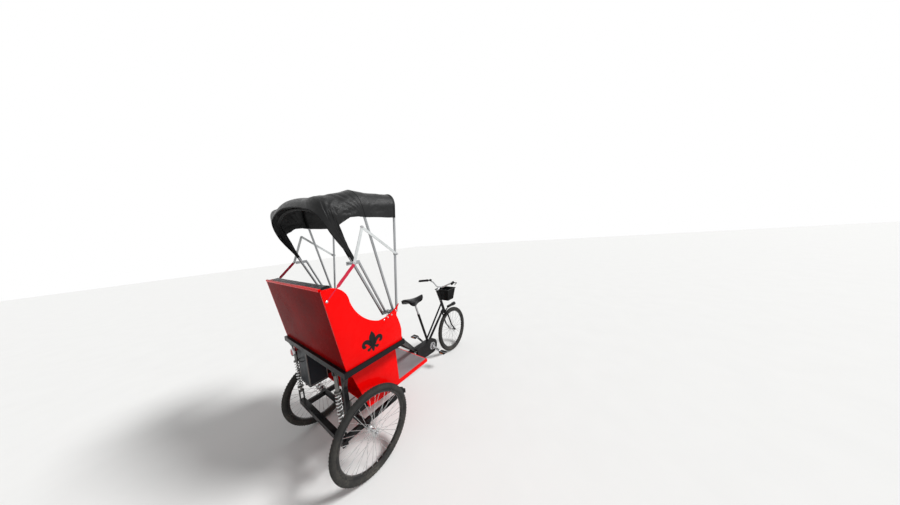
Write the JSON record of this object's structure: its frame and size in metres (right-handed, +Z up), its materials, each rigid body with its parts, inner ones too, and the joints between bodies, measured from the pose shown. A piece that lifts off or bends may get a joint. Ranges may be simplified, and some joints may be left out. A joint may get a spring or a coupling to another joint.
{
  "type": "cycle rickshaw",
  "caption": "Pedal rickshaw: the front half of a bicycle joined to a red passenger tub under a folding hood, on spoked wheels.",
  "frame": {"origin": "centre of the bounding box, on the ground the wheels stand on", "axes": "+Z up, front wheel towards -Y, the rider's left towards +X"},
  "size_m": [1.14, 2.3899, 2.2144],
  "materials": {
    "red_enamel": "glossy",
    "black_frame": "semi-gloss",
    "tyre_rubber": "matt",
    "black_rim": "gloss",
    "bright_steel": "bright",
    "bow_tube": "silver paint",
    "canopy_cloth": "coated canvas",
    "seat_cloth": "grained",
    "red_webbing": "woven",
    "black_plastic": "grained",
    "foot_rubber": "ribbed",
    "case_grey": "satin",
    "lamp_red": "clear red"
  },
  "bodies": {
    "chassis": {"back_cushion": "seat_cloth", "back_panel": "red_enamel", "battery_case": "case_grey", "bicycle_frame": "black_frame", "chain": "bright_steel", "chain_case": "black_plastic", "dampers": "bright_steel", "final_drive": "black_frame", "foot_mat": "foot_rubber", "foot_tray": "red_enamel", "hood_pivots": "bright_steel", "hood_straps": "red_webbing", "left_side_panel": "red_enamel", "rear_axle": "bright_steel", "rear_struts": "black_frame", "right_side_panel": "red_enamel", "saddle": "seat_cloth", "seat_board": "red_enamel", "seat_box": "red_enamel", "seat_cushion": "seat_cloth", "seat_hoop": "black_frame", "seat_post": "bright_steel", "side_arms": "black_frame", "spine_frame": "black_frame", "springs": "bright_steel", "swing_frame": "black_frame", "tail_lamp": "lamp_red"},
    "fork": {"fork": "black_frame", "handlebar": "bright_steel", "grips": "black_plastic", "brake_levers": "black_plastic", "head_lamp": "black_plastic", "basket": "black_plastic"},
    "front_wheel": {"front_tyre": "tyre_rubber", "front_rim": "black_rim", "front_spoked_hub": "bright_steel"},
    "left_wheel": {"left_tyre": "tyre_rubber", "left_rim": "black_rim", "left_spoked_hub": "bright_steel"},
    "right_wheel": {"right_tyre": "tyre_rubber", "right_rim": "black_rim", "right_spoked_hub": "bright_steel"},
    "crank": {"crank_set": "bright_steel"},
    "left_pedal": {"left_pedal": "black_plastic"},
    "right_pedal": {"right_pedal": "black_plastic"},
    "rear_bow": {"rear_bow": "bow_tube", "canopy_rear": "canopy_cloth"},
    "middle_bow": {"middle_bow": "bow_tube"},
    "front_bow": {"front_bow": "bow_tube", "canopy_front": "canopy_cloth"},
    "upper_links": {"upper_links": "bow_tube"},
    "lower_links": {"lower_links": "bow_tube"}
  },
  "joints": [
    {"name": "steering", "type": "hinge", "parent": "chassis", "child": "fork", "pos_m": [0, -0.8222, 0.31609], "axis": [0, 0.309, 0.9511], "range_deg": [-45, 45]},
    {"name": "front_wheel_spin", "type": "hinge", "parent": "fork", "child": "front_wheel", "pos_m": [0, -0.865, 0.33], "axis": [1, 0, 0], "continuous": true},
    {"name": "left_wheel_spin", "type": "hinge", "parent": "chassis", "child": "left_wheel", "pos_m": [0.466, 0.865, 0.33], "axis": [1, 0, 0], "continuous": true},
    {"name": "right_wheel_spin", "type": "hinge", "parent": "chassis", "child": "right_wheel", "pos_m": [-0.466, 0.865, 0.33], "axis": [1, 0, 0], "continuous": true},
    {"name": "crank_spin", "type": "hinge", "parent": "chassis", "child": "crank", "pos_m": [0, -0.31, 0.333], "axis": [1, 0, 0], "continuous": true},
    {"name": "left_pedal_spin", "type": "hinge", "parent": "crank", "child": "left_pedal", "pos_m": [0, -0.20394, 0.4594], "axis": [1, 0, 0], "continuous": true},
    {"name": "right_pedal_spin", "type": "hinge", "parent": "crank", "child": "right_pedal", "pos_m": [0, -0.41606, 0.2066], "axis": [1, 0, 0], "continuous": true},
    {"name": "hood_fold", "type": "hinge", "parent": "chassis", "child": "rear_bow", "pos_m": [0, 0.63, 1.205], "axis": [-1, 0, 0], "range_deg": [0, 17], "deforming": ["hood_straps"]},
    {"name": "middle_fold", "type": "hinge", "parent": "rear_bow", "child": "middle_bow", "pos_m": [0, 0.63, 1.205], "axis": [-1, 0, 0], "range_deg": [0, 8.2], "deforming": ["canopy_rear"]},
    {"name": "front_fold", "type": "hinge", "parent": "middle_bow", "child": "front_bow", "pos_m": [0, 0.63, 1.205], "axis": [-1, 0, 0], "range_deg": [0, 15.2], "deforming": ["canopy_front"]},
    {"name": "upper_link_fold", "type": "hinge", "parent": "rear_bow", "child": "upper_links", "pos_m": [0, 0.905, 1.654], "axis": [-1, 0, 0], "range_deg": [0, 43.92]},
    {"name": "lower_link_fold", "type": "hinge", "parent": "front_bow", "child": "lower_links", "pos_m": [0, 0.528, 1.676], "axis": [-1, 0, 0], "range_deg": [-21.66, 0]}
  ],
  "couplings": [
    {"joint": "middle_fold", "follows": "hood_fold", "ratio": 0.47059},
    {"joint": "front_fold", "follows": "hood_fold", "ratio": 0.88235},
    {"joint": "upper_link_fold", "follows": "hood_fold", "ratio": 2.5662},
    {"joint": "lower_link_fold", "follows": "hood_fold", "ratio": -1.2565}
  ]
}
